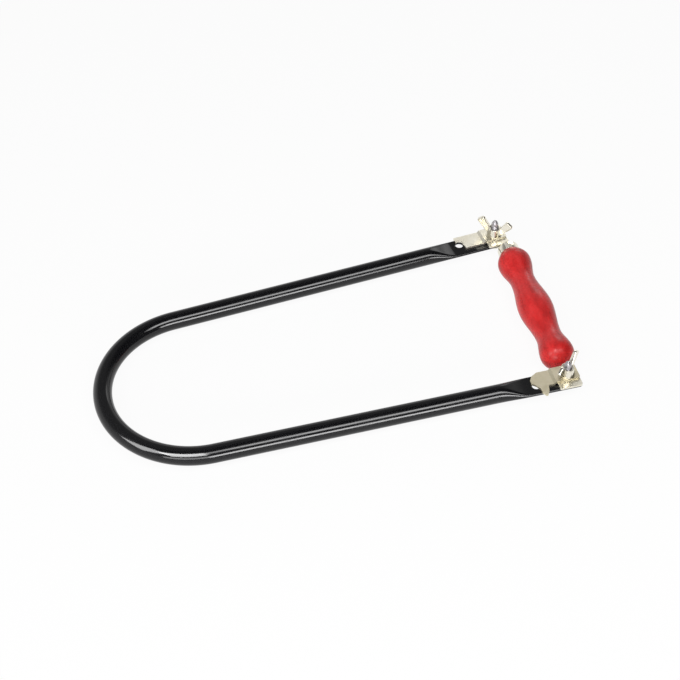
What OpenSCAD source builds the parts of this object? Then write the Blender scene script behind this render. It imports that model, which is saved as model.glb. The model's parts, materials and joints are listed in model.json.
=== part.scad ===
// Deep-throat fret saw: a bent steel tube bow with flattened ends, a blade clamp
// with a wing nut at each end, and a turned wooden handle. The handle hangs on a
// cranked tang under the upper clamp's bolt. It is drawn packed, swung into the
// bow. The bow lies in the XY plane and opens toward +X, with the bend at -X.

/* [Bow] */
// Outside diameter of the steel tube
tube_d = 12.7; // [11:0.1:14]
// Wall of the tube
tube_wall = 1; // [0.8:0.1:1.5]
// Radius of the bend, on the tube's centre line
bend_r = 62.8; // [60:0.2:75]
// Length of the lower arm, from the bend to its end
arm_length = 247.8; // [150:0.2:400]
// How much further the upper arm reaches
upper_arm_extra = 2.7; // [0:0.1:3]
// Angle by which each arm leans outward, in degrees
arm_splay = 2.35; // [1.5:0.05:3.5]

/* [Flattened arm ends] */
// Thickness of the flattened tube
flat_t = 2; // [1.8:0.1:2.4]
// Width of the flattened tube
flat_w = 16.8; // [16:0.1:19]
// Length of the flat part at the end of the lower arm
flat_length = 34; // [33:0.2:50]
// Length of the taper from round to flat
taper_length = 24; // [12:0.5:30]
// Radius of the corners at the lower arm's end
lower_corner_r = 1.5; // [1:0.1:3]
// Radius of the corners at the upper arm's end, which the handle swings past
upper_corner_r = 3; // [2.8:0.1:5]
// Diameter of the open hole at the root of each flat
root_hole_d = 5.5; // [4:0.1:6]
// Distance of that hole from the lower arm's end
root_hole_inset = 30.2; // [29:0.1:31]
// Sideways place of the lower arm's open hole, from the arm's centre line
lower_root_hole_side = -0.8; // [-2:0.1:2]
// Sideways place of the upper arm's open hole
upper_root_hole_side = 2.4; // [0:0.1:3]

/* [Blade clamps] */
// Thickness of the base jaws and the clamp plates
plate_t = 1.5; // [1:0.1:2]
// Length of a base jaw along the arm
base_jaw_l = 16; // [14:0.2:17]
// Width of a base jaw across the arm
base_jaw_w = 18; // [17:0.2:18.6]
// Corner radius of the jaws and plates
jaw_corner_r = 1.5; // [0.8:0.1:2]
// Distance of the lower clamp's bolt from the lower arm's end
bolt_inset = 8.2; // [8:0.1:9]
// Sideways place of both bolts, from the arms' centre lines
bolt_side = 1.3; // [0:0.1:2]
// How much further out the upper clamp sits
upper_clamp_shift = 5.3; // [4:0.1:5.5]
// Width of a clamp plate
clamp_plate_w = 12.8; // [12:0.1:14]
// Distance of a clamp plate's near edge from the bolt
clamp_plate_near = 4.9; // [4.5:0.1:5.5]
// Length of the step where a clamp plate climbs onto its base jaw
step_run = 1.6; // [1.2:0.1:2]
// Reach of the lower plate's tail behind its bolt
lower_tail_l = 25; // [24:0.1:26]
// Reach of the lower plate's claw past the plate's near edge
claw_reach = 7.8; // [6:0.1:10]
// Diameter of the half-round notch in the upper plate's tail
notch_d = 5.9; // [5.6:0.1:6.5]

/* [Bolts and wing nuts] */
// Diameter of the clamp bolts
bolt_d = 5; // [4:0.1:5.2]
// Length of the lower bolt under its head
lower_bolt_l = 17.5; // [15:0.1:20]
// Length of the upper bolt under its head
upper_bolt_l = 21; // [19:0.1:24]
// Diameter of a bolt's mushroom head
head_d = 11; // [10:0.1:13]
// Height of that head
head_h = 2.6; // [2:0.1:3.5]
// Span of a wing nut over its wings
wing_span = 26.6; // [22:0.2:27]
// Height of a wing nut
wing_nut_h = 14.2; // [12:0.1:15]
// Diameter of a wing nut's base
hub_d = 10.4; // [9:0.1:10.6]
// Height of a wing nut's hub
hub_h = 6.6; // [5:0.1:7]
// Thickness of a wing
wing_t = 2.2; // [1.6:0.1:2.6]
// Width of a wing across its end
wing_end_w = 6.2; // [5:0.1:7]
// Radius of the corners at a wing's end
wing_corner_r = 1.5; // [1:0.1:2]
// Angle by which a wing's end falls away outward, in degrees
wing_end_fall = 36; // [20:1:50]
// Turn of the lower wing nut about its bolt, in degrees
lower_nut_turn = 41; // [0:1:90]
// Turn of the upper wing nut about its bolt, in degrees
upper_nut_turn = -43; // [-90:1:0]

/* [Handle] */
// Distance that the packed grip's end keeps from the lower bolt, measured along the grip
grip_end_gap = 12; // [11.5:0.1:20]
// Diameter of the grip at its thickest
grip_d = 24.6; // [22:0.2:26]
// Outside diameter of the ferrule
ferrule_d = 15.7; // [14:0.1:16]
// Length of the ferrule
ferrule_l = 6.4; // [3:0.1:8]
// Wall of the ferrule
ferrule_wall = 1; // [0.6:0.1:1.5]
// Radius of the ferrule's outer edge
ferrule_edge_r = 0.6; // [0.2:0.1:0.8]
// Distance of the ferrule from the bolt it swings about
ferrule_reach = 13.2; // [13:0.1:18]
// Sideways offset of the grip from that bolt
handle_offset = 6.5; // [4:0.1:7]
// Drop of the grip's middle below the middle of the arms
handle_drop = 0.5; // [0.5:0.1:1]
// Angle between the packed grip and the line across the bow, in degrees
handle_lean = 3.9; // [3:0.1:5]
// Thickness of the tang
tang_t = 2.2; // [1.8:0.1:2.6]
// Width of the tang's strap
strap_w = 9.2; // [7:0.1:10]
// Diameter of the tang's eye
eye_d = 16.4; // [15:0.1:17]
// Length of the tang's spike inside the grip
spike_l = 46; // [30:1:60]
// Diameter of the bolt's shoulder, which the eye swings on
shoulder_d = 7.4; // [7.4:0.1:8]

/* [Hidden] */
$fn = 64;

// Clearances between pieces
slide_fit = 0.08;     // radial, between a bolt and what moves along or about it
fixed_fit = 0.15;     // round a piece that stays put, such as a bolt's neck
swing_gap = 0.05;     // above and below the tang's eye
step_gap = 0.3;       // between a clamp plate's step and its base jaw
wood_fit = 0.05;      // round the tang's spike in the grip
shoulder_slack = 0.2; // by which the shoulder is shorter than the eye is thick
overrun = 1;          // how far a cut runs past what it cuts
touch_share = 0.98;   // of a round end's radius, where straight sides run into it

// Tube
tube_r = tube_d / 2;
bore_r = tube_r - tube_wall;
// The tube grows wide as it is pressed thin: spread is the half width won for each
// unit of half height lost
spread = (flat_w / 2 - tube_r) / (tube_r - flat_t / 2);
function half_width(half_height, r) = r + spread * (r - half_height);
flat_start = arm_length - flat_length;
taper_start = flat_start - taper_length;
// The taper's facets stay just inside the round tube and the flat, and reach into both
seam_share = 0.998;
seam_overlap = tube_wall / 2;
taper_rings = 14;
taper_sides = 40;
// The bore closes before the taper ends
bore_end_share = 0.85;

// Clamps, along the arm
lower_bolt_at = arm_length - bolt_inset;
upper_bolt_at = lower_bolt_at + upper_clamp_shift;
root_hole_at = arm_length - root_hole_inset;
jaw_top = flat_t / 2 + plate_t;
plate_top = jaw_top + plate_t;
clamp_plate_far = clamp_plate_w - clamp_plate_near;
plate_hole_d = bolt_d + 2 * slide_fit;
// Where the lower plate's near edge meets the claw, as a share of the tail's reach
claw_root_share = 0.576;
// Outline of the lower plate's tail, from its far shoulder round the slant nose to
// the claw. First the place behind the bolt, as a share of the tail's reach, and
// then the place across, as a share of the far edge's or the claw's distance.
lower_tail_shares = [
  [0.74, 1], [0.924, 0.67], [1, 0.23], [1, -0.055], [0.888, -0.276],
  [0.824, -0.51], [0.816, -0.75], [0.756, -0.94], [0.676, -0.93], [0.624, -0.77],
  [claw_root_share, -0.386], [0.5, -0.386], [0.5, 1]
];
claw_tip_share = 0.718;
claw_tip_r = 1.1;
claw_depth = clamp_plate_near + claw_reach;
// Rear edge of the upper plate, behind the open hole, as a share of the hole's diameter
upper_tail_share = 0.35;

// Radius of the arc that a bolt's end is rounded with, as a share of its diameter
bolt_tip_share = 1;

// Wing nut. A wing's end runs between two round corners, the outer one lower.
wing_end_run = wing_end_w - 2 * wing_corner_r;
outer_corner = [wing_span / 2 - wing_corner_r, wing_nut_h - wing_corner_r - wing_end_run * sin(wing_end_fall)];
inner_corner = outer_corner + wing_end_run * [-cos(wing_end_fall), sin(wing_end_fall)];
hub_top_share = 0.8;
// Where a wing leaves the hub, as shares of the hub's radius and height
wing_foot_shares = [0.8, 0.15];
wing_neck_shares = [0.68, 1];

// Tang and grip, measured from the bolt that they swing about
grip_z = -handle_drop;
tang_top = -flat_t / 2 - swing_gap;
tang_rise = grip_z - (tang_top - tang_t / 2);
crank_run_share = 0.88;
crank_run = tang_rise * crank_run_share;
crank_start = ferrule_reach - crank_run;
crank_shift = tang_t * tan(atan2(tang_rise, crank_run) / 2);
grip_start = ferrule_reach + ferrule_l;
// The packed grip fills what the two bolts leave along it
lower_bolt_x = lower_bolt_at * cos(arm_splay) - (bend_r - bolt_side) * sin(arm_splay);
lower_bolt_y = -lower_bolt_at * sin(arm_splay) - (bend_r - bolt_side) * cos(arm_splay);
upper_bolt_x = upper_bolt_at * cos(arm_splay) - (bend_r + bolt_side) * sin(arm_splay);
upper_bolt_y = upper_bolt_at * sin(arm_splay) + (bend_r + bolt_side) * cos(arm_splay);
bolts_apart = (upper_bolt_x - lower_bolt_x) * sin(handle_lean)
  + (upper_bolt_y - lower_bolt_y) * cos(handle_lean);
grip_l = bolts_apart - grip_start - grip_end_gap;
neck_r = ferrule_d / 2 - ferrule_wall;
spike_end = grip_start + spike_l;
spike_tip_share = 0.4;
// Places along the grip and radii there, as shares of its length and its greatest
// radius: shoulder, first bulb, waist, palm swell, waist and end bulb
grip_place_shares = [0, 0.0866, 0.256, 0.5064, 0.7497, 0.9006];
grip_radius_shares = [0.642, 0.988, 0.732, 1, 0.744, 0.963];
grip_steps = 9;

// The saw's own box. The origin is under its middle, at its lowest point.
first_bulb_at = grip_start + grip_place_shares[1] * grip_l;
box_low_x = -bend_r - tube_r;
box_high_x = upper_bolt_x - first_bulb_at * sin(handle_lean)
  + (handle_offset + grip_radius_shares[1] * grip_d / 2) * cos(handle_lean);
wing_angle = upper_nut_turn + arm_splay;
box_high_y = upper_bolt_y - wing_span / 2 * sin(wing_angle) + wing_t / 2 * cos(wing_angle);
claw_at = lower_bolt_at - claw_tip_share * lower_tail_l;
box_low_y = -bend_r * cos(arm_splay) - claw_at * sin(arm_splay)
  + (bolt_side - claw_depth) * cos(arm_splay);
origin_shift = [-(box_low_x + box_high_x) / 2, -(box_low_y + box_high_y) / 2, grip_d / 2 + handle_drop];

enamel = [0.07, 0.07, 0.08];
nickel = [0.8, 0.77, 0.68];
lacquer = [0.78, 0.1, 0.13];

// Places what is drawn round the bend's centre into the part's own frame
module in_part_frame() {
  translate(origin_shift) children();
}

// Local x runs out along the arm, and local y points from the lower arm to the upper.
// side is 1 for the upper arm and -1 for the lower one.
module on_arm(side) {
  rotate([0, 0, side * arm_splay])
    translate([0, side * bend_r, 0])
      children();
}

module at_bolt(side) {
  on_arm(side)
    translate([side > 0 ? upper_bolt_at : lower_bolt_at, bolt_side, 0])
      children();
}

// Local x runs down the packed grip from the upper bolt's axis
module on_handle() {
  at_bolt(1)
    rotate([0, 0, -90 - handle_lean - arm_splay])
      children();
}

// Point where a line from p touches a circle of radius r round c. turn picks one of
// the two such lines: 1 lies counter-clockwise of the line to the centre. A side
// that runs into a round end is drawn to a circle just inside it.
function touch_point(p, c, r, turn) =
  let (
    d = c - p,
    angle = atan2(d[1], d[0]) + turn * asin(r / norm(d))
  )
  p + sqrt(d * d - r * r) * [cos(angle), sin(angle)];

// Bow

// Outline of a tube of radius r pressed to half height b
function pressed_section(b, r) = [
  for (i = [0 : taper_sides - 1])
    let (
      angle = 360 * (i + 0.5) / taper_sides - 90,
      side = i < taper_sides / 2 ? 1 : -1
    )
    [side * (half_width(b, r) - b) + b * cos(angle), b * sin(angle)]
];

// Half height of the tube at share u of the taper
function pressed_height(u) = flat_t / 2 + (tube_r - flat_t / 2) * (1 + cos(180 * u)) / 2;

// Section of the taper at x, where the taper's share is u
function taper_ring(x, u, inset) = [
  for (p = pressed_section(pressed_height(u) - inset, tube_r - inset))
    [x, seam_share * p[0], seam_share * p[1]]
];

// The round tube gives way to the flat. inset is the depth below the tube's surface,
// and end_share is how much of the taper is made.
module taper(inset, end_share) {
  rings = [
    taper_ring(taper_start - seam_overlap, 0, inset),
    for (k = [0 : taper_rings])
      taper_ring(taper_start + end_share * k / taper_rings * taper_length, end_share * k / taper_rings, inset),
    if (end_share == 1) taper_ring(flat_start + seam_overlap, 1, inset)
  ];
  points = [for (ring = rings) each ring];
  n = taper_sides;
  last = (len(rings) - 1) * n;
  walls = [
    for (k = [0 : len(rings) - 2], i = [0 : n - 1])
      let (a = k * n + i, b = k * n + (i + 1) % n)
      each [[a, a + n, b], [b, a + n, b + n]]
  ];
  caps = [
    for (i = [1 : n - 2])
      each [[0, i, i + 1], [last, last + i + 1, last + i]]
  ];
  polyhedron(points = points, faces = concat(walls, caps));
}

// A ring, cut off square where each arm starts
module bend(r) {
  reach = 2 * bend_r;
  difference() {
    rotate_extrude($fn = 96)
      translate([bend_r, 0])
        circle(r = r, $fn = 48);
    for (side = [-1, 1])
      rotate([0, 0, side * arm_splay])
        translate([0, side * reach / 2 - reach / 2 - side * tube_d, -tube_d])
          cube([reach, reach, 2 * tube_d]);
  }
}

module straight(r) {
  rotate([0, 90, 0])
    cylinder(h = taper_start, r = r, $fn = 48);
}

// Plan of a strip from x = 0 to length, with two round corners at its end
module strip_plan(length, width, r) {
  translate([0, -width / 2 + r])
    square([length, width - 2 * r]);
  translate([0, -width / 2])
    square([length - r, width]);
  for (side = [-1, 1])
    translate([length - r, side * (width / 2 - r)])
      circle(r = r);
}

// Flat end of one arm, with a round edge along each side
module flat_end(length, corner_r) {
  translate([flat_start, 0, 0])
    intersection() {
      rotate([90, 0, 90])
        linear_extrude(length) {
          square([flat_w - flat_t, flat_t], center = true);
          for (side = [-1, 1])
            translate([side * (flat_w - flat_t) / 2, 0])
              circle(d = flat_t);
        }
      translate([0, 0, -flat_t])
        linear_extrude(2 * flat_t)
          strip_plan(length, flat_w, corner_r);
    }
}

// The open hole and the square hole that holds the bolt's neck
module arm_holes(side) {
  on_arm(side)
    translate([root_hole_at, side > 0 ? upper_root_hole_side : lower_root_hole_side, -flat_t])
      cylinder(h = 2 * flat_t, d = root_hole_d);
  at_bolt(side)
    cube([bolt_d + 2 * fixed_fit, bolt_d + 2 * fixed_fit, 2 * flat_t], center = true);
}

module bow_frame() {
  color(enamel)
    in_part_frame()
      difference() {
        union() {
          bend(tube_r);
          for (side = [-1, 1])
            on_arm(side) {
              straight(tube_r);
              taper(0, 1);
            }
          on_arm(-1)
            flat_end(flat_length, lower_corner_r);
          on_arm(1)
            flat_end(flat_length + upper_arm_extra, upper_corner_r);
        }
        bend(bore_r);
        for (side = [-1, 1]) {
          on_arm(side) {
            straight(bore_r);
            taper(tube_wall, bore_end_share);
          }
          arm_holes(side);
        }
      }
}

// Blade clamps

// The blade's end lies across this plate, outside the bolt
module base_jaw(side) {
  color(nickel)
    in_part_frame()
      at_bolt(side)
        translate([0, -bolt_side, flat_t / 2])
          difference() {
            linear_extrude(plate_t) {
              square([base_jaw_l - 2 * jaw_corner_r, base_jaw_w], center = true);
              square([base_jaw_l, base_jaw_w - 2 * jaw_corner_r], center = true);
              for (x = [-1, 1], y = [-1, 1])
                translate([x * (base_jaw_l / 2 - jaw_corner_r), y * (base_jaw_w / 2 - jaw_corner_r)])
                  circle(r = jaw_corner_r);
            }
            translate([0, bolt_side, -overrun])
              cylinder(h = plate_t + 2 * overrun, d = bolt_d + 2 * fixed_fit);
          }
}

// Side view of a clamp plate: low on the flat, then up a step and over the base jaw.
// tail is its reach behind the bolt.
module clamp_side(tail) {
  step_end = -base_jaw_l / 2 - step_gap;
  step_start = step_end - step_run;
  shift = plate_t * tan(atan2(plate_t, step_run) / 2);
  low = flat_t / 2;
  polygon([
    [-tail, low],
    [step_start, low],
    [step_end, jaw_top],
    [base_jaw_l / 2, jaw_top],
    [base_jaw_l / 2, plate_top],
    [step_end - shift, plate_top],
    [step_start - shift, jaw_top],
    [-tail, jaw_top]
  ]);
}

// Gives a flat outline the bends of a clamp plate, and its bolt hole
module clamp_plate_body(tail) {
  difference() {
    intersection() {
      translate([0, 2 * clamp_plate_w, 0])
        rotate([90, 0, 0])
          linear_extrude(4 * clamp_plate_w)
            clamp_side(tail);
      linear_extrude(plate_top + overrun)
        children();
    }
    cylinder(h = plate_top + overrun, d = plate_hole_d);
  }
}

// Front of both plates, from root behind the bolt to the jaw's outer edge
module clamp_front(root) {
  translate([-root, clamp_plate_w / 2 - clamp_plate_near])
    strip_plan(root + base_jaw_l / 2, clamp_plate_w, jaw_corner_r);
}

// Tail of the lower plate: a slant nose, and a claw that stands past the arm's edge
module lower_tail() {
  polygon([
    for (p = lower_tail_shares)
      [-p[0] * lower_tail_l, p[1] * (p[1] > 0 ? clamp_plate_far : claw_depth)]
  ]);
  translate([-claw_tip_share * lower_tail_l, claw_tip_r - claw_depth])
    circle(r = claw_tip_r);
}

module lower_clamp_plate() {
  root = lower_tail_l * claw_root_share;
  color(nickel)
    in_part_frame()
      at_bolt(-1)
        clamp_plate_body(lower_tail_l + overrun) {
          clamp_front(root);
          lower_tail();
        }
}

// Tail of the upper plate: a prong beside a half-round notch at the arm's open hole
module upper_clamp_plate() {
  hole = [root_hole_at - upper_bolt_at, upper_root_hole_side - bolt_side];
  tail = -hole[0] + upper_tail_share * root_hole_d;
  color(nickel)
    in_part_frame()
      at_bolt(1)
        clamp_plate_body(tail)
          difference() {
            clamp_front(tail);
            translate(hole)
              circle(d = notch_d);
            translate([-tail - overrun, -clamp_plate_near - overrun])
              square([tail + overrun + hole[0] + notch_d / 2, hole[1] + clamp_plate_near + overrun]);
          }
}

// Bolts and wing nuts

// Mushroom head, a square neck in the flat, and a shank with a bullet-shaped end,
// drawn without its thread. drop is how far the head lies below the flat.
module clamp_bolt(length, drop) {
  head_top = -flat_t / 2 - drop;
  cap_r = (head_d * head_d / 4 + head_h * head_h) / (2 * head_h);
  tip_r = bolt_tip_share * bolt_d;
  tip_inset = tip_r - bolt_d / 2;
  tip_h = sqrt(tip_r * tip_r - tip_inset * tip_inset);
  translate([0, 0, head_top]) {
    rotate_extrude()
      intersection() {
        translate([0, cap_r - head_h])
          circle(r = cap_r, $fn = 128);
        translate([0, -head_h])
          square([head_d / 2, head_h]);
      }
    rotate_extrude() {
      square([bolt_d / 2, length - tip_h]);
      intersection() {
        translate([-tip_inset, length - tip_h])
          circle(r = tip_r, $fn = 128);
        square([bolt_d / 2, length]);
      }
    }
  }
  translate([-bolt_d / 2, -bolt_d / 2, -flat_t / 2])
    cube([bolt_d, bolt_d, flat_t - fixed_fit]);
}

module lower_clamp_bolt() {
  color(nickel)
    in_part_frame()
      at_bolt(-1)
        clamp_bolt(lower_bolt_l, 0);
}

// This bolt has a round shoulder under its square neck, which the tang's eye turns on
module upper_clamp_bolt() {
  drop = tang_t + 2 * swing_gap;
  color(nickel)
    in_part_frame()
      at_bolt(1) {
        clamp_bolt(upper_bolt_l, drop);
        translate([0, 0, -flat_t / 2 - drop])
          cylinder(h = tang_t - shoulder_slack, d = shoulder_d);
      }
}

// Half of a wing nut's outline beyond its hub: it widens outward and up to its end
module wing_outline() {
  foot = [hub_d / 2 * wing_foot_shares[0], hub_h * wing_foot_shares[1]];
  neck = [hub_d / 2 * wing_neck_shares[0], hub_h * wing_neck_shares[1]];
  near_r = touch_share * wing_corner_r;
  outward = near_r * [sin(wing_end_fall), cos(wing_end_fall)];
  for (corner = [outer_corner, inner_corner])
    translate(corner)
      circle(r = wing_corner_r);
  polygon([
    foot,
    touch_point(foot, outer_corner, near_r, -1),
    outer_corner + outward,
    inner_corner + outward,
    touch_point(neck, inner_corner, near_r, 1),
    neck
  ]);
}

module wing_nut(side, turn) {
  color(nickel)
    in_part_frame()
      at_bolt(side)
        translate([0, 0, plate_top])
          rotate([0, 0, turn])
            difference() {
              union() {
                cylinder(h = hub_h, d1 = hub_d, d2 = hub_top_share * hub_d);
                for (half = [0, 180])
                  rotate([90, 0, half])
                    translate([0, 0, -wing_t / 2])
                      linear_extrude(wing_t)
                        wing_outline();
              }
              translate([0, 0, -overrun])
                cylinder(h = hub_h + 2 * overrun, d = plate_hole_d);
            }
}

// Handle

// Forged in one piece: an eye for the bolt, a strap cranked up to the grip's middle,
// and a flat spike that tapers into the wood
module handle_tang() {
  color(nickel)
    in_part_frame()
      on_handle()
        difference() {
          intersection() {
            translate([0, 0, -grip_d / 2]) {
              cylinder(h = grip_d, d = eye_d);
              linear_extrude(grip_d)
                tang_plan();
            }
            translate([0, grip_d, 0])
              rotate([90, 0, 0])
                linear_extrude(2 * grip_d)
                  tang_side();
          }
          translate([0, 0, tang_top - 2 * tang_t])
            cylinder(h = 3 * tang_t, d = shoulder_d + 2 * slide_fit);
        }
}

// Outline of the strap and the spike, from the eye's middle
module tang_plan() {
  outer = handle_offset + strap_w / 2;
  inner = handle_offset - strap_w / 2;
  tip = spike_tip_share * strap_w / 2;
  corner = [eye_d / 2, outer];
  polygon([
    [0, 0],
    touch_point(corner, [0, 0], touch_share * eye_d / 2, -1),
    corner,
    [grip_start, outer],
    [spike_end, handle_offset + tip],
    [spike_end, handle_offset - tip],
    [grip_start, inner],
    [0, inner]
  ]);
}

module tang_side() {
  crank_end = crank_start + crank_run;
  polygon([
    [-eye_d, tang_top - tang_t],
    [crank_start, tang_top - tang_t],
    [crank_end, grip_z - tang_t / 2],
    [spike_end, grip_z - tang_t / 2],
    [spike_end, grip_z + tang_t / 2],
    [crank_end - crank_shift, grip_z + tang_t / 2],
    [crank_start - crank_shift, tang_top],
    [-eye_d, tang_top]
  ]);
}

// Local z runs down the grip's own axis
module on_grip_axis(along) {
  in_part_frame()
    on_handle()
      translate([along, handle_offset, grip_z])
        rotate([0, 90, 0])
          children();
}

// Drawn steel cup on the grip's neck, slotted in its end for the tang
module handle_ferrule() {
  r = ferrule_d / 2;
  color(nickel)
    on_grip_axis(ferrule_reach)
      difference() {
        rotate_extrude()
          difference() {
            union() {
              square([r - ferrule_edge_r, ferrule_l]);
              translate([0, ferrule_edge_r])
                square([r, ferrule_l - ferrule_edge_r]);
              translate([r - ferrule_edge_r, ferrule_edge_r])
                circle(r = ferrule_edge_r);
            }
            translate([0, ferrule_wall])
              square([neck_r, ferrule_l]);
          }
        cube([tang_t + 2 * wood_fit, strap_w + 2 * wood_fit, 4 * ferrule_wall], center = true);
      }
}

// Radius at share u of the stretch that ends at key place k. The first stretch rises
// like a quarter wave from the shoulder, and the others run from crest to hollow.
function grip_radius(k, u) =
  let (
    a = grip_radius_shares[k - 1],
    b = grip_radius_shares[k],
    rise = k == 1 ? sin(90 * u) : (1 - cos(180 * u)) / 2
  )
  (a + (b - a) * rise) * grip_d / 2;

function grip_profile() =
  let (
    keys = len(grip_place_shares),
    end_at = grip_place_shares[keys - 1] * grip_l,
    end_r = grip_radius_shares[keys - 1] * grip_d / 2
  )
  [
    [0, 0],
    for (k = [1 : keys - 1], i = [0 : grip_steps - 1])
      let (
        u = i / grip_steps,
        a = grip_place_shares[k - 1],
        b = grip_place_shares[k]
      )
      [grip_radius(k, u), (a + (b - a) * u) * grip_l],
    for (i = [0 : grip_steps])
      let (angle = 90 * i / grip_steps)
      [i == grip_steps ? 0 : end_r * cos(angle), end_at + (grip_l - end_at) * sin(angle)]
  ];

// Turned from one piece of wood, with a neck in the ferrule and a slot for the spike
module handle_grip() {
  spike_slot = [
    [0, strap_w / 2 + wood_fit],
    [ferrule_l, strap_w / 2 + wood_fit],
    [ferrule_l + spike_l + wood_fit, spike_tip_share * strap_w / 2 + wood_fit]
  ];
  color(lacquer)
    on_grip_axis(ferrule_reach)
      difference() {
        union() {
          translate([0, 0, ferrule_l])
            rotate_extrude()
              polygon(grip_profile());
          translate([0, 0, ferrule_wall + wood_fit])
            cylinder(h = ferrule_l, r = neck_r - wood_fit);
        }
        translate([-tang_t / 2 - wood_fit, 0, 0])
          rotate([90, 0, 90])
            linear_extrude(tang_t + 2 * wood_fit)
              polygon([
                for (p = spike_slot) [p[1], p[0]],
                for (i = [len(spike_slot) - 1 : -1 : 0]) [-spike_slot[i][1], spike_slot[i][0]]
              ]);
      }
}

bow_frame();
base_jaw(-1);  // lower_base_jaw
lower_clamp_plate();
lower_clamp_bolt();
wing_nut(-1, lower_nut_turn);  // lower_wing_nut
base_jaw(1);  // upper_base_jaw
upper_clamp_plate();
upper_clamp_bolt();
wing_nut(1, upper_nut_turn);  // upper_wing_nut
handle_tang();
handle_ferrule();
handle_grip();
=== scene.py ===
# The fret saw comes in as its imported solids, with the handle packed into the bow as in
# the photo. Their box is kept, and the bend is placed from it.
import json
import math

import bmesh
import bpy
from mathutils import Matrix, Vector, noise

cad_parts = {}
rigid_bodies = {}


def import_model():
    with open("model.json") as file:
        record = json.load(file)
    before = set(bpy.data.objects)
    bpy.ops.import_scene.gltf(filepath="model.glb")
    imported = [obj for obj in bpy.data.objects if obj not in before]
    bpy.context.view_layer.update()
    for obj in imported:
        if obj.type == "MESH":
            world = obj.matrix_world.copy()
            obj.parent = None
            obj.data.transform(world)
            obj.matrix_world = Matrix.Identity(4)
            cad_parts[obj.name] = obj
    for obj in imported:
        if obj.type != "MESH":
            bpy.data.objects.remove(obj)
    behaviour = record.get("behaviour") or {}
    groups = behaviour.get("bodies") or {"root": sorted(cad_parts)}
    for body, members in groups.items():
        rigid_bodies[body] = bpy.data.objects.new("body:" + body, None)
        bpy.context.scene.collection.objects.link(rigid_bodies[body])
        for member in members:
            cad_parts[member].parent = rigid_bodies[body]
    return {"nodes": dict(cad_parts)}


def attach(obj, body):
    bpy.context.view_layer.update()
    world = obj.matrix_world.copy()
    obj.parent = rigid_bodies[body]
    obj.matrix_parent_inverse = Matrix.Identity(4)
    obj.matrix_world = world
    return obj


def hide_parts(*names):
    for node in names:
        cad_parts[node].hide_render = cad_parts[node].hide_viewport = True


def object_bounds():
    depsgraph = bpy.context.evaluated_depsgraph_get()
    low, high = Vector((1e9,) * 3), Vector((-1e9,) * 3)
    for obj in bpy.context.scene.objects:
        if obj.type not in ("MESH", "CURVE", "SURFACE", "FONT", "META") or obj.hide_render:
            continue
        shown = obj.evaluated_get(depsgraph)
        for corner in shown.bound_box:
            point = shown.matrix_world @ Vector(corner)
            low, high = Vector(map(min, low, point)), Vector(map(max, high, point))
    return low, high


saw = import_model()
solids = saw["nodes"]
cad_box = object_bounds()
scene = bpy.context.scene
scene.view_settings.view_transform = "Standard"

# The photographer stands on the lower arm's side and looks down on the saw at about 46
# degrees, with a long lens. Place and lens come from a fit to the tube's edges in the photo.
lens_right = Vector((0.95613, -0.29252, -0.01587))
lens_up = Vector((0.22086, 0.68422, 0.69503))
lens_back = lens_right.cross(lens_up)
lens_place = Vector((-0.17680, -0.63439, 0.70489))
camera_data = bpy.data.cameras.new("camera")
camera_data.lens = 73.98
camera_data.sensor_width = 36
camera_data.clip_start = 0.05
camera = bpy.data.objects.new("camera", camera_data)
lens_turn = Matrix((lens_right, lens_up, lens_back)).transposed().to_4x4()
camera.matrix_world = Matrix.Translation(lens_place) @ lens_turn
scene.collection.objects.link(camera)
scene.camera = camera


# The bow is one length of drawn steel tube, bent round a former, pressed flat at both
# ends and drilled. It is dipped in black enamel and stoved, so the gloss lies over faint
# draw lines and a little orange peel, and dust sits in it here and there.
def new_finish(name, colour, metallic, roughness):
    material = bpy.data.materials.new(name)
    material.use_nodes = True
    shader = material.node_tree.nodes["Principled BSDF"]
    shader.inputs["Base Color"].default_value = (*colour, 1)
    shader.inputs["Metallic"].default_value = metallic
    shader.inputs["Roughness"].default_value = roughness
    return material, shader


def grain(material, scale, detail=3.0, stretch=(1, 1, 1), turn=0.0):
    """A noise over the piece. stretch draws it out along X, and turn, in degrees, turns that X."""
    nodes, links = material.node_tree.nodes, material.node_tree.links
    place = nodes.new("ShaderNodeTexCoord")
    lay = nodes.new("ShaderNodeMapping")
    lay.vector_type = "TEXTURE"
    lay.inputs["Rotation"].default_value = (0, 0, math.radians(turn))
    lay.inputs["Scale"].default_value = stretch
    texture = nodes.new("ShaderNodeTexNoise")
    texture.inputs["Scale"].default_value = scale
    texture.inputs["Detail"].default_value = detail
    links.new(place.outputs["Object"], lay.inputs["Vector"])
    links.new(lay.outputs["Vector"], texture.inputs["Vector"])
    return texture.outputs["Fac"]


def spread(material, value, low, high, start=0.3, end=0.7):
    """Maps a noise to a range of roughness."""
    ramp = material.node_tree.nodes.new("ShaderNodeMapRange")
    ramp.inputs["From Min"].default_value = start
    ramp.inputs["From Max"].default_value = end
    ramp.inputs["To Min"].default_value = low
    ramp.inputs["To Max"].default_value = high
    material.node_tree.links.new(value, ramp.inputs["Value"])
    return ramp.outputs["Result"]


def tint(material, value, stops):
    """Colours by the value: stops are (place, colour)."""
    ramp = material.node_tree.nodes.new("ShaderNodeValToRGB")
    while len(ramp.color_ramp.elements) < len(stops):
        ramp.color_ramp.elements.new(0.5)
    for element, (place, colour) in zip(ramp.color_ramp.elements, stops):
        element.position = place
        element.color = (*colour, 1)
    material.node_tree.links.new(value, ramp.inputs["Fac"])
    return ramp.outputs["Color"]


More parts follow.
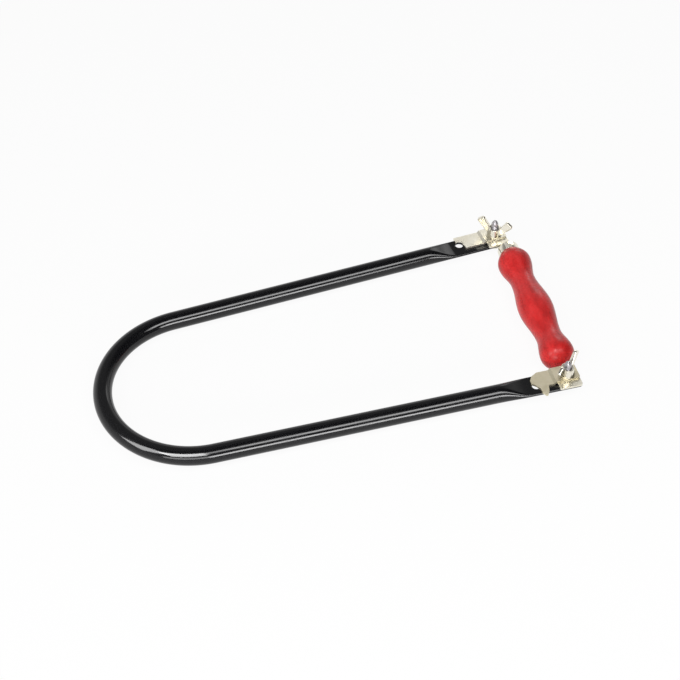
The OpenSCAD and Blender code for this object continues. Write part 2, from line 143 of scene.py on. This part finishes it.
def relief(material, shader, layers):
    """Bumps laid over one another: layers are (height value, depth in metres)."""
    nodes, links = material.node_tree.nodes, material.node_tree.links
    normal = None
    for value, depth in layers:
        bump = nodes.new("ShaderNodeBump")
        bump.inputs["Strength"].default_value = 1.0
        bump.inputs["Distance"].default_value = depth
        links.new(value, bump.inputs["Height"])
        if normal is not None:
            links.new(normal, bump.inputs["Normal"])
        normal = bump.outputs["Normal"]
    links.new(normal, shader.inputs["Normal"])


def new_piece(name, mesh_maker, place, body, node, finish):
    """Makes a mesh in its own frame, lays it in the saw's frame and lets it stand for a solid."""
    mesh = bpy.data.meshes.new(name)
    shape = bmesh.new()
    mesh_maker(shape)
    bmesh.ops.recalc_face_normals(shape, faces=shape.faces)
    shape.transform(place)
    shape.to_mesh(mesh)
    shape.free()
    piece = bpy.data.objects.new(name, mesh)
    scene.collection.objects.link(piece)
    for face in mesh.polygons:
        face.use_smooth = True
    mesh.materials.append(finish)
    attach(piece, body)
    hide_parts(node)
    return piece


def skin(shape, rings, closed_ends=True):
    """Skins rings of points, each one as long as the next."""
    made = [[shape.verts.new(p) for p in ring] for ring in rings]
    count = len(made[0])
    for one, other in zip(made, made[1:]):
        for i in range(count):
            j = (i + 1) % count
            shape.faces.new((one[i], one[j], other[j], other[i]))
    if closed_ends:
        shape.faces.new(made[0][::-1])
        shape.faces.new(made[-1])
    return made


deep_enamel, clean_enamel = (0.004, 0.004, 0.005), (0.007, 0.007, 0.008)
dusty_enamel = (0.02, 0.02, 0.019)
enamel, enamel_shader = new_finish("stoved_enamel", (0.011, 0.011, 0.012), 0.0, 0.2)
enamel_links = enamel.node_tree.links
enamel_dust = grain(enamel, 900, 6)
enamel_tone = tint(enamel, enamel_dust, [(0.0, deep_enamel), (0.62, clean_enamel), (0.78, dusty_enamel)])
enamel_links.new(enamel_tone, enamel_shader.inputs["Base Color"])
enamel_links.new(spread(enamel, grain(enamel, 45, 5), 0.09, 0.18), enamel_shader.inputs["Roughness"])
relief(enamel, enamel_shader, [(grain(enamel, 30, 1, stretch=(5, 1, 1)), 0.000012)])
enamel_shader.inputs["Specular IOR Level"].default_value = 0.35

# Sizes are in metres and turns in degrees. The arms go by side, -1 for the lower and 1 for
# the upper, and splay outward. Places along an arm are measured from the bend's centre.
lower, upper = -1, 1
tube_r = 0.00635
bend_r = 0.0628
arm_splay = 2.35
arm_l = {lower: 0.2478, upper: 0.2505}
end_corner_r = {lower: 0.0015, upper: 0.003}
flat_l = 0.034
taper_l = 0.024
straight_l = arm_l[lower] - flat_l - taper_l
flat_half_w = 0.0084
flat_half_t = 0.001
end_edge = 0.0002
skin_inset = 0.00001

# The card lies at zero height, and the saw rests on it with the grip's largest swell. The
# grip's axis is a little lower than the arms. The saw's box starts at the bend, whose
# centre is a hair off the middle of the box's width.
grip_r = 0.0123
handle_drop = 0.0005
bend_x = cad_box[0][0] + tube_r + bend_r
bend_y = -0.00018
arm_height = grip_r + handle_drop

# Each flat has an open round hole at its root and a square one for the bolt's neck.
root_hole_r = 0.00275
root_hole_at = arm_l[lower] - 0.0302
root_hole_aside = {lower: -0.0008, upper: 0.0024}
lower_bolt_at = arm_l[lower] - 0.0082
upper_clamp_shift = 0.0053
bolt_at = {lower: lower_bolt_at, upper: lower_bolt_at + upper_clamp_shift}
bolt_aside = 0.0013
neck_half_diagonal = 0.00375
hole_edge = 0.0003


def wall_ring(half_width, half_height, count=128):
    """Points round the tube's wall, (outward, up), at any stage between round and pressed flat."""
    round_run = math.pi / 2 * half_height
    quarter = round_run + half_width - half_height
    found = []
    for i in range(count):
        part, share = divmod(4 * i / count, 1)
        run = quarter * (share if part % 2 == 0 else 1 - share)
        angle = min(run / half_height, math.pi / 2)
        outward = half_width - half_height + half_height * math.cos(angle) - max(0, run - round_run)
        up = half_height * math.sin(angle)
        found.append((outward if part in (0, 3) else -outward, up if part < 2 else -up))
    return found


def arm_point(side, along, aside, up):
    """From an arm's own frame, which starts at the bend's centre, to the saw's frame."""
    splay = math.radians(arm_splay * side)
    return (
        bend_x + along * math.cos(splay) - aside * math.sin(splay),
        bend_y + along * math.sin(splay) + aside * math.cos(splay),
        arm_height + up,
    )


def arm_rings(side):
    """Rings from the bend to an arm's end: round, then pressed flatter and wider, then flat."""
    end, corner, round_r = arm_l[side], end_corner_r[side], tube_r - skin_inset
    straight_steps, taper_steps, flat_steps, corner_steps = 12, 28, 30, 8
    stations = [(straight_l * i / straight_steps, round_r, round_r) for i in range(straight_steps)]
    for i in range(taper_steps + 1):
        round_share = (1 + math.cos(math.pi * i / taper_steps)) / 2
        half_height = flat_half_t + (round_r - flat_half_t) * round_share
        pressed = (round_r - half_height) / (round_r - flat_half_t)
        half_width = round_r + (flat_half_w - round_r) * pressed
        stations.append((straight_l + taper_l * i / taper_steps, half_width, half_height))
    flat_start, corner_start = straight_l + taper_l, end - corner
    for i in range(1, flat_steps):
        along = flat_start + (corner_start - flat_start) * i / flat_steps
        stations.append((along, flat_half_w, flat_half_t))
    for i in range(corner_steps + 1):
        angle = math.pi / 2 * i / corner_steps
        along = corner_start + (corner - end_edge) * math.sin(angle)
        stations.append((along, flat_half_w - corner * (1 - math.cos(angle)), flat_half_t))
    for back, inset, thinner in ((0.3, 0.3, 0.4), (0, 1, 1.2)):
        half_width = flat_half_w - corner - inset * end_edge
        stations.append((end - back * end_edge, half_width, flat_half_t - thinner * end_edge))
    rings = []
    for along, half_width, half_height in stations:
        wall = wall_ring(half_width, half_height)
        rings.append([arm_point(side, along, side * (bend_r + outward), up) for outward, up in wall])
    return rings


def bow_mesh(shape):
    """One skin from the lower arm's end round the bend to the upper arm's end."""
    rings = arm_rings(lower)[::-1]
    bend_steps = 88
    for i in range(1, bend_steps):
        angle = math.radians(270 - arm_splay - (180 - 2 * arm_splay) * i / bend_steps)
        ring = []
        for outward, up in wall_ring(tube_r - skin_inset, tube_r - skin_inset):
            reach = bend_r + outward
            ring.append((bend_x + reach * math.cos(angle), bend_y + reach * math.sin(angle), arm_height + up))
        rings.append(ring)
    skin(shape, rings + arm_rings(upper))


def drilled(piece, holes):
    """Cuts holes through the flat ends, with edges that flare out as the enamel's do."""
    lip = ((0.5, 0), (0.7, 0.1), (0.88, 0.45), (1, 1), (1.5, 1))
    drill = bmesh.new()
    for side, along, aside, radius, sides in holes:
        rings = []
        for share, flare in [(-share, flare) for share, flare in lip[::-1]] + list(lip):
            r = radius + hole_edge * flare
            ring = []
            for i in range(sides):
                turn = math.tau * (i + 0.5) / sides
                place = (along + r * math.cos(turn), side * bend_r + aside + r * math.sin(turn))
                ring.append(arm_point(side, *place, share * flat_half_t))
            rings.append(ring)
        skin(drill, rings)
    bmesh.ops.recalc_face_normals(drill, faces=drill.faces)
    drill_mesh = bpy.data.meshes.new("drill")
    drill.to_mesh(drill_mesh)
    drill.free()
    drill_piece = bpy.data.objects.new("drill", drill_mesh)
    scene.collection.objects.link(drill_piece)
    cut = piece.modifiers.new("holes", "BOOLEAN")
    cut.operation = "DIFFERENCE"
    cut.solver = "EXACT"
    cut.object = drill_piece
    bpy.context.view_layer.update()
    whole = piece.data
    piece.data = bpy.data.meshes.new_from_object(piece.evaluated_get(bpy.context.evaluated_depsgraph_get()))
    piece.modifiers.clear()
    bpy.data.meshes.remove(whole)
    bpy.data.objects.remove(drill_piece)
    bpy.data.meshes.remove(drill_mesh)
    for face in piece.data.polygons:
        face.use_smooth = True
    sharpest_soft_edge = 48
    piece.data.set_sharp_from_angle(angle=math.radians(sharpest_soft_edge))
    even = piece.modifiers.new("even shading", "WEIGHTED_NORMAL")
    even.keep_sharp = True


bow = new_piece("bent_tube_bow", bow_mesh, Matrix.Identity(4), "bow", "bow_frame", enamel)
drilled(bow, (
    (lower, root_hole_at, root_hole_aside[lower], root_hole_r, 64),
    (upper, root_hole_at, root_hole_aside[upper], root_hole_r, 64),
    (lower, bolt_at[lower], bolt_aside, neck_half_diagonal, 4),
    (upper, bolt_at[upper], bolt_aside, neck_half_diagonal, 4),
))


# The two base jaws are blanked from strip with round corners, tumbled so that no edge is
# sharp, and nickel plated. The blade's end lies across each one, outside the bolt.
def tumbled(node, finish, edge, steps=3):
    """Plates a solid and rounds its edges as blanking and tumbling leave them."""
    piece = solids[node]
    piece.data.materials.clear()
    piece.data.materials.append(finish)
    joined = piece.modifiers.new("one skin", "WELD")
    joined.merge_threshold = 0.000002
    rounded = piece.modifiers.new("tumbled edges", "BEVEL")
    rounded.width = edge
    rounded.segments = steps
    rounded.limit_method = "ANGLE"
    rounded.angle_limit = math.radians(35)
    rounded.use_clamp_overlap = True
    rounded.harden_normals = True


def plated_strip(name, dull, usual, clean):
    """Nickel of three tones, through which the rolled strip's tooth and waves show."""
    nickel, shader = new_finish(name, usual, 1.0, 0.38)
    links = nickel.node_tree.links
    tone = tint(nickel, grain(nickel, 160, 6), [(0.25, dull), (0.5, usual), (0.8, clean)])
    links.new(tone, shader.inputs["Base Color"])
    links.new(spread(nickel, grain(nickel, 420, 5), 0.32, 0.44), shader.inputs["Roughness"])
    strip_tooth, strip_waves = grain(nickel, 2600, 3), grain(nickel, 160, 1)
    relief(nickel, shader, [(strip_tooth, 0.0000012), (strip_waves, 0.000004)])
    return nickel


strip_nickel = plated_strip("nickel_on_strip", (0.74, 0.69, 0.56), (0.83, 0.79, 0.67), (0.88, 0.85, 0.75))

tumbled("lower_base_jaw", strip_nickel, edge=0.00025)
tumbled("upper_base_jaw", strip_nickel, edge=0.00025)


# The clamp plates are pressed from the same strip, stepped so that they lie on the flat
# arm and on the base jaw at once. The lower one ends in a slant nose and a claw that
# hooks over the arm's edge, and its nickel has yellowed. The upper one has a notch.
yellowed_nickel = plated_strip("yellowed_nickel", (0.6, 0.54, 0.38), (0.68, 0.62, 0.455), (0.72, 0.66, 0.51))
tumbled("lower_clamp_plate", yellowed_nickel, edge=0.0003)
tumbled("upper_clamp_plate", strip_nickel, edge=0.0003)


# The clamp bolts are cold headed, with a mushroom head and a square neck that the flat
# arm keeps from turning. Their M5 thread is rolled up to a bullet end and zinc plated.
bolt_l = {lower: 0.0175, upper: 0.021}
bolt_r = 0.0025
thread_pitch = 0.0008
thread_depth = 0.00042
thread_start = 0.0012
head_r = 0.0055
head_h = 0.0026
shoulder_r = 0.0037
shoulder_l = 0.002
neck_w = 0.005
tang_room = 0.0023


def clamp_frame(side):
    """Place of a bolt's axis at the middle of its arm, turned along the arm."""
    spot = Vector(arm_point(side, bolt_at[side], side * bend_r + bolt_aside, 0))
    return Matrix.Translation(spot) @ Matrix.Rotation(math.radians(arm_splay * side), 4, "Z")


def turned_ring(r, z, sides):
    """Points of a circle about Z."""
    turns = [math.tau * i / sides for i in range(sides)]
    return [(r * math.cos(turn), r * math.sin(turn), z) for turn in turns]


def bolt_outline(head_top, shoulder_end):
    """(radius, height) of the mushroom head, the shoulder where there is one, and the plain shank."""
    ball = (head_r * head_r + head_h * head_h) / (2 * head_h)
    steps, middle_r, rim, rim_round, seat_edge = 12, 0.0001, 0.0003, 0.00012, 0.0004
    outline = []
    for k in range(steps + 1):
        angle = math.asin(head_r / ball) * k / steps
        outline.append((ball * math.sin(angle), head_top - head_h + ball * (1 - math.cos(angle))))
    outline[0] = (middle_r, outline[0][1])
    outline += [(head_r, head_top - rim), (head_r - rim_round, head_top - rim_round / 2)]
    outline.append((head_r - seat_edge, head_top))
    if shoulder_end > head_top:
        fillet, chamfer = 0.00005, 0.0002
        outline += [(shoulder_r + fillet, head_top), (shoulder_r, head_top + fillet)]
        outline += [(shoulder_r, shoulder_end - chamfer), (shoulder_r - chamfer, shoulder_end)]
    return outline + [(bolt_r, shoulder_end), (bolt_r, thread_start)]


def bolt_mesh(shape, length, head_top, shoulder_end):
    """A bolt with its thread wound round the shank. Heights are measured from the arm's middle."""
    sides, steps_a_turn, smallest_r = 48, 8, 0.0001
    tip_arc_r, tip_l = 0.005, 0.00433
    steepness, land = 1.35, 0.12
    rings = [turned_ring(r, z, sides) for r, z in bolt_outline(head_top, shoulder_end)]
    end = head_top + length
    tip_start = end - tip_l
    count = int((end - thread_start) / (thread_pitch / steps_a_turn))
    for k in range(1, count + 1):
        z = thread_start + (end - thread_start) * k / count
        past = max(0, z - tip_start)
        cover = max(smallest_r, math.sqrt(tip_arc_r * tip_arc_r - past * past) - (tip_arc_r - bolt_r))
        fade = min(1, (z - thread_start) / thread_pitch) * min(1, max(0, tip_start - z) / thread_pitch)
        ring = []
        for i in range(sides):
            flank = abs(((z / thread_pitch - i / sides) % 1) - 0.5) * 2
            r = cover - thread_depth * fade * max(0, min(1, steepness * (1 - flank) - land))
            ring.append((r * math.cos(math.tau * i / sides), r * math.sin(math.tau * i / sides), z))
        rings.append(ring)
    skin(shape, rings)
    neck_edge = 0.00015
    neck = bmesh.ops.create_cube(shape, size=neck_w)
    for vertex in neck["verts"]:
        vertex.co.z = flat_half_t - neck_edge if vertex.co.z > 0 else -flat_half_t
    sharp = [edge for edge in shape.edges if all(v in neck["verts"] for v in edge.verts)]
    bmesh.ops.bevel(shape, geom=sharp, offset=neck_edge, segments=2, affect="EDGES")


zinc, zinc_shader = new_finish("zinc_on_bolts", (0.6, 0.58, 0.6), 1.0, 0.35)
zinc_links = zinc.node_tree.links
dark_zinc, pale_zinc = (0.42, 0.4, 0.42), (0.57, 0.55, 0.57)
zinc_tone = tint(zinc, grain(zinc, 500, 5), [(0.3, dark_zinc), (0.7, pale_zinc)])
zinc_links.new(zinc_tone, zinc_shader.inputs["Base Color"])
zinc_links.new(spread(zinc, grain(zinc, 700, 4), 0.4, 0.54), zinc_shader.inputs["Roughness"])

# The lower head lies on the arm. The upper one leaves room for the tang's eye on its shoulder.
lower_head, upper_head = -flat_half_t, -flat_half_t - tang_room
new_piece(
    "lower_threaded_bolt",
    lambda shape: bolt_mesh(shape, bolt_l[lower], lower_head, lower_head),
    clamp_frame(lower), "bow", "lower_clamp_bolt", zinc,
)
new_piece(
    "upper_threaded_bolt",
    lambda shape: bolt_mesh(shape, bolt_l[upper], upper_head, upper_head + shoulder_l),
    clamp_frame(upper), "bow", "upper_clamp_bolt", zinc,
)


# The wing nuts are hot pressed from one slug and plated: a hub that narrows to the top and
# two ears, thick at the root, that rise and end in a flat slant. All their corners are soft.
bright_nickel, bright_shader = new_finish("bright_nickel", (0.8, 0.76, 0.65), 1.0, 0.14)
bright_links = bright_nickel.node_tree.links
dull_bright, usual_bright, clean_bright = (0.72, 0.68, 0.56), (0.84, 0.8, 0.69), (0.88, 0.85, 0.76)
bright_mottle, bright_wear = grain(bright_nickel, 240, 6), grain(bright_nickel, 500, 5)
bright_tones = [(0.25, dull_bright), (0.5, usual_bright), (0.8, clean_bright)]
bright_tone = tint(bright_nickel, bright_mottle, bright_tones)
bright_links.new(bright_tone, bright_shader.inputs["Base Color"])
bright_links.new(spread(bright_nickel, bright_wear, 0.08, 0.2), bright_shader.inputs["Roughness"])
press_tooth, press_waves = grain(bright_nickel, 900, 2), grain(bright_nickel, 210, 1)
relief(bright_nickel, bright_shader, [(press_tooth, 0.000002), (press_waves, 0.00002)])

# A nut's sizes start from its seat on the clamp plate. The slant end of each ear falls outward.
plate_t = 0.0015
nut_seat = flat_half_t + 2 * plate_t
nut_turn = {lower: 41, upper: -43}
nut_bore_r = 0.00262
hub_r = 0.0052
hub_top_r = 0.00416
hub_h = 0.0066
ear_end_r = 0.0015
ear_end_w = 0.0062
ear_end_fall = 36
ear_outer_x = 0.0118
ear_outer_z = 0.01082
ear_root_half_t = 0.0015
ear_end_half_t = 0.00112


def ear_outline():
    """(reach, height) round one ear: up its outer edge, along the slant end and down to the hub."""
    ear_end_run = ear_end_w - 2 * ear_end_r
    inner_x = ear_outer_x - ear_end_run * math.cos(math.radians(ear_end_fall))
    inner_z = ear_outer_z + ear_end_run * math.sin(math.radians(ear_end_fall))
    outer_edge, slant, inner_edge, steps = -44.8, 90 - ear_end_fall, 147.5, 8
    outer_corner = (ear_outer_x, ear_outer_z, outer_edge, slant)
    inner_corner = (inner_x, inner_z, slant, inner_edge)
    root_low, foot = (0.0031, 0.0001), (0.0044, 0.0009)
    hub_corner, root_high = (0.0036, hub_h), (0.0031, 0.0062)
    outline = [root_low, foot]
    for x, z, start, stop in (outer_corner, inner_corner):
        for k in range(steps + 1):
            angle = math.radians(start + (stop - start) * k / steps)
            outline.append((x + ear_end_r * math.cos(angle), z + ear_end_r * math.sin(angle)))
    return [Vector(p) for p in outline + [hub_corner, root_high]]


def wing_nut_mesh(shape):
    """Hub and ears as overlapping bodies, which are then melted into one."""
    sides, melt_loss, foot_rim, bore_rim_r, bore_chamfer = 64, 0.00006, 0.0007, 0.0034, 0.0006
    hub = [(nut_bore_r, 0), (hub_r, 0), (hub_r, foot_rim), (hub_top_r, hub_h)]
    hub += [(bore_rim_r, hub_h), (nut_bore_r, hub_h - bore_chamfer)]
    made = skin(shape, [turned_ring(r + melt_loss, z, sides) for r, z in hub], closed_ends=False)
    for i in range(sides):
        j = (i + 1) % sides
        shape.faces.new((made[-1][i], made[-1][j], made[0][j], made[0][i]))
    ear_middle = Vector((0.0085, 0.0085))
    root_x, thinning_l = 0.003, 0.006
    rounded_sides = ((-1, 0.0003), (-0.82, 0.00006), (0, 0), (0.82, 0.00006), (1, 0.0003))
    for half in (1, -1):
        layers = []
        for share, inset in rounded_sides:
            ring = []
            for p in ear_outline():
                thinned = min(1, max(0, (p.x - root_x) / thinning_l))
                half_t = ear_root_half_t * (1 - thinned) + ear_end_half_t * thinned
                q = p + (ear_middle - p).normalized() * inset
                ring.append((half * q.x, half * share * half_t, q.y))
            layers.append(ring)
        skin(shape, layers)


for name, side in (("lower", lower), ("upper", upper)):
    turned = Matrix.Translation((0, 0, nut_seat)) @ Matrix.Rotation(math.radians(nut_turn[side]), 4, "Z")
    nut = new_piece(
        name + "_pressed_wing_nut", wing_nut_mesh, clamp_frame(side) @ turned,
        name + "_nut", name + "_wing_nut", bright_nickel,
    )
    melt = nut.modifiers.new("one pressing", "REMESH")
    melt.mode = "VOXEL"
    melt.voxel_size = 0.00018
    melt.use_smooth_shade = True
    soft = nut.modifiers.new("soft corners", "SMOOTH")
    soft.factor = 0.5
    soft.iterations = 4


# The tang is forged from flat bar: an eye that turns on the upper bolt's shoulder, a strap
# cranked up to the middle of the grip, and a spike that is driven into the wood.
tumbled("handle_tang", strip_nickel, edge=0.0003)


# The ferrule is a short cup drawn from thin steel, bright plated. It is pushed on the
# grip's neck with its slotted end outward, so that the wood can't split round the spike.
tumbled("handle_ferrule", bright_nickel, edge=0.00015)


# The grip is turned from one piece of beech with a bulb at each end and a swell for the
# palm. It is dipped in red lacquer, which pools a little and lets the grain be felt.
grip_l = 0.11378
grip_shoulder_r = 0.0074
grip_neck_r = 0.00665
grip_neck_l = 0.0052
grip_start = 0.0196
handle_offset = 0.0065
handle_turn = -93.9
lacquer_pool = 0.00005


def grip_outline(steps):
    """(distance from the shoulder, radius) down the grip. It turns at crests and hollows, whose
    places are shares of the grip's length and whose radii are shares of its largest one."""
    places = [0, 0.0866, 0.256, 0.5064, 0.7497, 0.9006]
    radii = [0.642, 0.988, 0.732, 1, 0.744, 0.963]
    found = []
    for k in range(1, len(places)):
        for i in range(steps):
            u = i / steps
            rise = math.sin(math.pi / 2 * u) if k == 1 else (1 - math.cos(math.pi * u)) / 2
            place = places[k - 1] + (places[k] - places[k - 1]) * u
            found.append((grip_l * place, grip_r * (radii[k - 1] + (radii[k] - radii[k - 1]) * rise)))
    for i in range(steps):
        angle = math.pi / 2 * i / steps
        place = places[-1] + (1 - places[-1]) * math.sin(angle)
        found.append((grip_l * place, grip_r * radii[-1] * math.cos(angle)))
    return found


def grip_mesh(shape):
    """The turned grip along X, with its neck for the ferrule and with pools in the lacquer."""
    sides, pool_scale, along_scale, bare_l, axis_r = 96, 260, 0.25, 0.002, 0.0001
    outline = [(-grip_neck_l, grip_neck_r), (0, grip_neck_r), (0, grip_shoulder_r)]
    outline += grip_outline(24) + [(grip_l, axis_r)]
    rings = []
    for along, r in outline:
        ring = []
        for i in range(sides):
            angle = math.tau * i / sides
            spot = Vector((along_scale * along, r * math.cos(angle), r * math.sin(angle)))
            pool = lacquer_pool * noise.noise(spot * pool_scale) if along > bare_l else 0
            coated_r = r + pool - lacquer_pool
            ring.append((along, coated_r * math.cos(angle), coated_r * math.sin(angle)))
        rings.append(ring)
    skin(shape, rings)


lacquer, lacquer_shader = new_finish("red_lacquer", (0.445, 0.018, 0.018), 0.0, 0.3)
lacquer_links = lacquer.node_tree.links
deep_red, usual_red, thin_red = (0.33, 0.012, 0.012), (0.445, 0.018, 0.018), (0.52, 0.03, 0.03)
lacquer_mottle = grain(lacquer, 180, 6, stretch=(2.5, 1, 1), turn=handle_turn)
lacquer_tone = tint(lacquer, lacquer_mottle, [(0.3, deep_red), (0.5, usual_red), (0.72, thin_red)])
lacquer_links.new(lacquer_tone, lacquer_shader.inputs["Base Color"])
lacquer_links.new(spread(lacquer, grain(lacquer, 260, 5), 0.2, 0.36), lacquer_shader.inputs["Roughness"])
wood_grain = grain(lacquer, 1500, 4, stretch=(14, 1, 1), turn=handle_turn)
lacquer_dents = grain(lacquer, 320, 3, stretch=(2, 1, 1), turn=handle_turn)
relief(lacquer, lacquer_shader, [(wood_grain, 0.00003), (lacquer_dents, 0.00014)])
lacquer_shader.inputs["Specular IOR Level"].default_value = 0.2

upper_bolt = Matrix.Translation(clamp_frame(upper).to_translation())
handle_frame = upper_bolt @ Matrix.Rotation(math.radians(handle_turn), 4, "Z")
grip_place = handle_frame @ Matrix.Translation((grip_start, handle_offset, -handle_drop))
grip = new_piece("turned_grip", grip_mesh, grip_place, "handle", "handle_grip", lacquer)


# The saw lies on white card. The card shows as white where the lamps leave it a little
# short of that, and keeps a soft shadow under the saw.
def maths(tree, operation, first, second):
    """A math node of two inputs, each a socket or a number."""
    node = tree.nodes.new("ShaderNodeMath")
    node.operation = operation
    for socket, value in zip(node.inputs, (first, second)):
        if isinstance(value, float):
            socket.default_value = value
        else:
            tree.links.new(value, socket)
    return node.outputs[0]


half_card = 6
card_mesh = bpy.data.meshes.new("card")
card_corners = [(half_card * x, half_card * y, 0) for x, y in ((-1, -1), (1, -1), (1, 1), (-1, 1))]
card_mesh.from_pydata(card_corners, [], [(0, 1, 2, 3)])
card = bpy.data.objects.new("card", card_mesh)
scene.collection.objects.link(card)
white, white_shader = new_finish("white_card", (0.96, 0.96, 0.96), 0.0, 0.9)
white_tree = white.node_tree
white_path = white_tree.nodes.new("ShaderNodeLightPath").outputs
white_seen = maths(white_tree, "MAXIMUM", white_path["Is Camera Ray"], white_path["Is Glossy Ray"])
white_seen = maths(white_tree, "MAXIMUM", white_seen, white_path["Is Transmission Ray"])
white_glow = white_tree.nodes.new("ShaderNodeEmission")
white_glow.inputs["Strength"].default_value = 1
white_mix = white_tree.nodes.new("ShaderNodeMixShader")
white_tree.links.new(maths(white_tree, "MULTIPLY", white_seen, 0.93), white_mix.inputs["Fac"])
white_tree.links.new(white_shader.outputs["BSDF"], white_mix.inputs[1])
white_tree.links.new(white_glow.outputs["Emission"], white_mix.inputs[2])
white_tree.links.new(white_mix.outputs["Shader"], white_tree.nodes["Material Output"].inputs["Surface"])
card_mesh.materials.append(white)


# The studio has white walls on the left and far sides under a dim ceiling, and is dark
# behind the photographer and to the right. The camera sees white past the card's edge.
world = bpy.data.worlds.new("studio")
scene.world = world
world.use_nodes = True
room = world.node_tree


def fading(value, start, end, bright, dark):
    """Light that fades smoothly from bright, at the value start, to dark, at the value end."""
    fade = room.nodes.new("ShaderNodeMapRange")
    fade.interpolation_type = "SMOOTHSTEP"
    fade.inputs["From Min"].default_value = start
    fade.inputs["From Max"].default_value = end
    fade.inputs["To Min"].default_value = bright
    fade.inputs["To Max"].default_value = dark
    room.links.new(value, fade.inputs["Value"])
    return fade.outputs["Result"]


room_toward = room.nodes.new("ShaderNodeTexCoord").outputs["Generated"]
room_side = room.nodes.new("ShaderNodeVectorMath")
room_side.operation = "DOT_PRODUCT"
room_side.inputs[1].default_value = (0.85 * lens_back + 0.53 * lens_right).normalized()
room.links.new(room_toward, room_side.inputs[0])
room_height = room.nodes.new("ShaderNodeSeparateXYZ")
room.links.new(room_toward, room_height.inputs["Vector"])
room_walls = fading(room_side.outputs["Value"], 0.1, 0.55, bright=1, dark=0.03)
room_ceiling = fading(room_height.outputs["Z"], 0.15, 0.6, bright=0.9, dark=0.27)
room_light = maths(room, "MULTIPLY", room_ceiling, room_walls)
room_path = room.nodes.new("ShaderNodeLightPath").outputs
room_seen = maths(room, "MAXIMUM", room_light, room_path["Is Camera Ray"])
room.links.new(room_seen, room.nodes["Background"].inputs["Strength"])
room.nodes["Background"].inputs["Color"].default_value = (1, 1, 1, 1)


# Two soft lamps light the whole saw. A window and a soft box light all but the tube, two
# small lamps light the grip, and five panels light the tube alone, as the lines and
# patches that its gloss mirrors.
def lens_side(rise, turn=0):
    """Direction from the saw that lies the given degrees above the lens and to its right."""
    rise, turn = math.radians(rise), math.radians(turn)
    above = math.cos(rise) * lens_back + math.sin(rise) * lens_up
    return math.cos(turn) * above + math.sin(turn) * lens_right


tube_alone = bpy.data.collections.new("lit by the panels")
tube_alone.objects.link(bow)
grip_alone = bpy.data.collections.new("lit by the small lamps")
grip_alone.objects.link(grip)
all_but_tube = bpy.data.collections.new("lit by the window and the box")
for piece in scene.objects:
    if piece.type == "MESH" and piece not in (bow, card):
        all_but_tube.objects.link(piece)
lamp_distance = 1.3
line_breadth = 0.36
upper_line, lower_line = 14, -30
right_window = Vector((0.6, 0.67, 0.43))
for name, toward, length, breadth, watts, receivers in (
    ("lamp over the lens", lens_side(upper_line), 1.6, line_breadth, 12, None),
    ("lamp under the lens", lens_side(lower_line), 1.6, line_breadth, 12, None),
    ("small lamp over the lens", lens_side(21, -10), 0.16, 0.16, 4, grip_alone),
    ("small lamp beside the lens", lens_side(-5, -46), 0.16, 0.16, 4, grip_alone),
    ("window on the right", right_window, 0.45, 0.35, 1.6, all_but_tube),
    ("box over the far side", Vector((0.192, 0.668, 0.719)), 1.2, 1.0, 1.4, all_but_tube),
    ("panel over the lens", lens_side(upper_line, 23), 0.72, line_breadth, 6, tube_alone),
    ("panel under the lens", lens_side(lower_line, 23), 0.72, line_breadth, 10, tube_alone),
    ("panel beside the lens", Vector((-0.4, -0.52, 0.76)), 0.7, 0.7, 30, tube_alone),
    ("panel on the left", Vector((-0.76, -0.2, 0.6)), 0.75, 0.6, 19, tube_alone),
    ("panel on the right", right_window, 0.3, 0.25, 0.35, tube_alone),
):
    lamp_data = bpy.data.lights.new(name, "AREA")
    lamp_data.shape = "RECTANGLE"
    lamp_data.size = length
    lamp_data.size_y = breadth
    lamp_data.energy = watts
    lamp = bpy.data.objects.new(name, lamp_data)
    lamp.light_linking.receiver_collection = receivers
    lamp.visible_diffuse = receivers is not tube_alone
    toward = toward.normalized()
    across = toward.cross(Vector((1, 0, 0))).normalized()
    along = across.cross(toward)
    facing = Matrix((along, across, toward)).transposed().to_4x4()
    lamp.matrix_world = Matrix.Translation(toward * lamp_distance) @ facing
    scene.collection.objects.link(lamp)
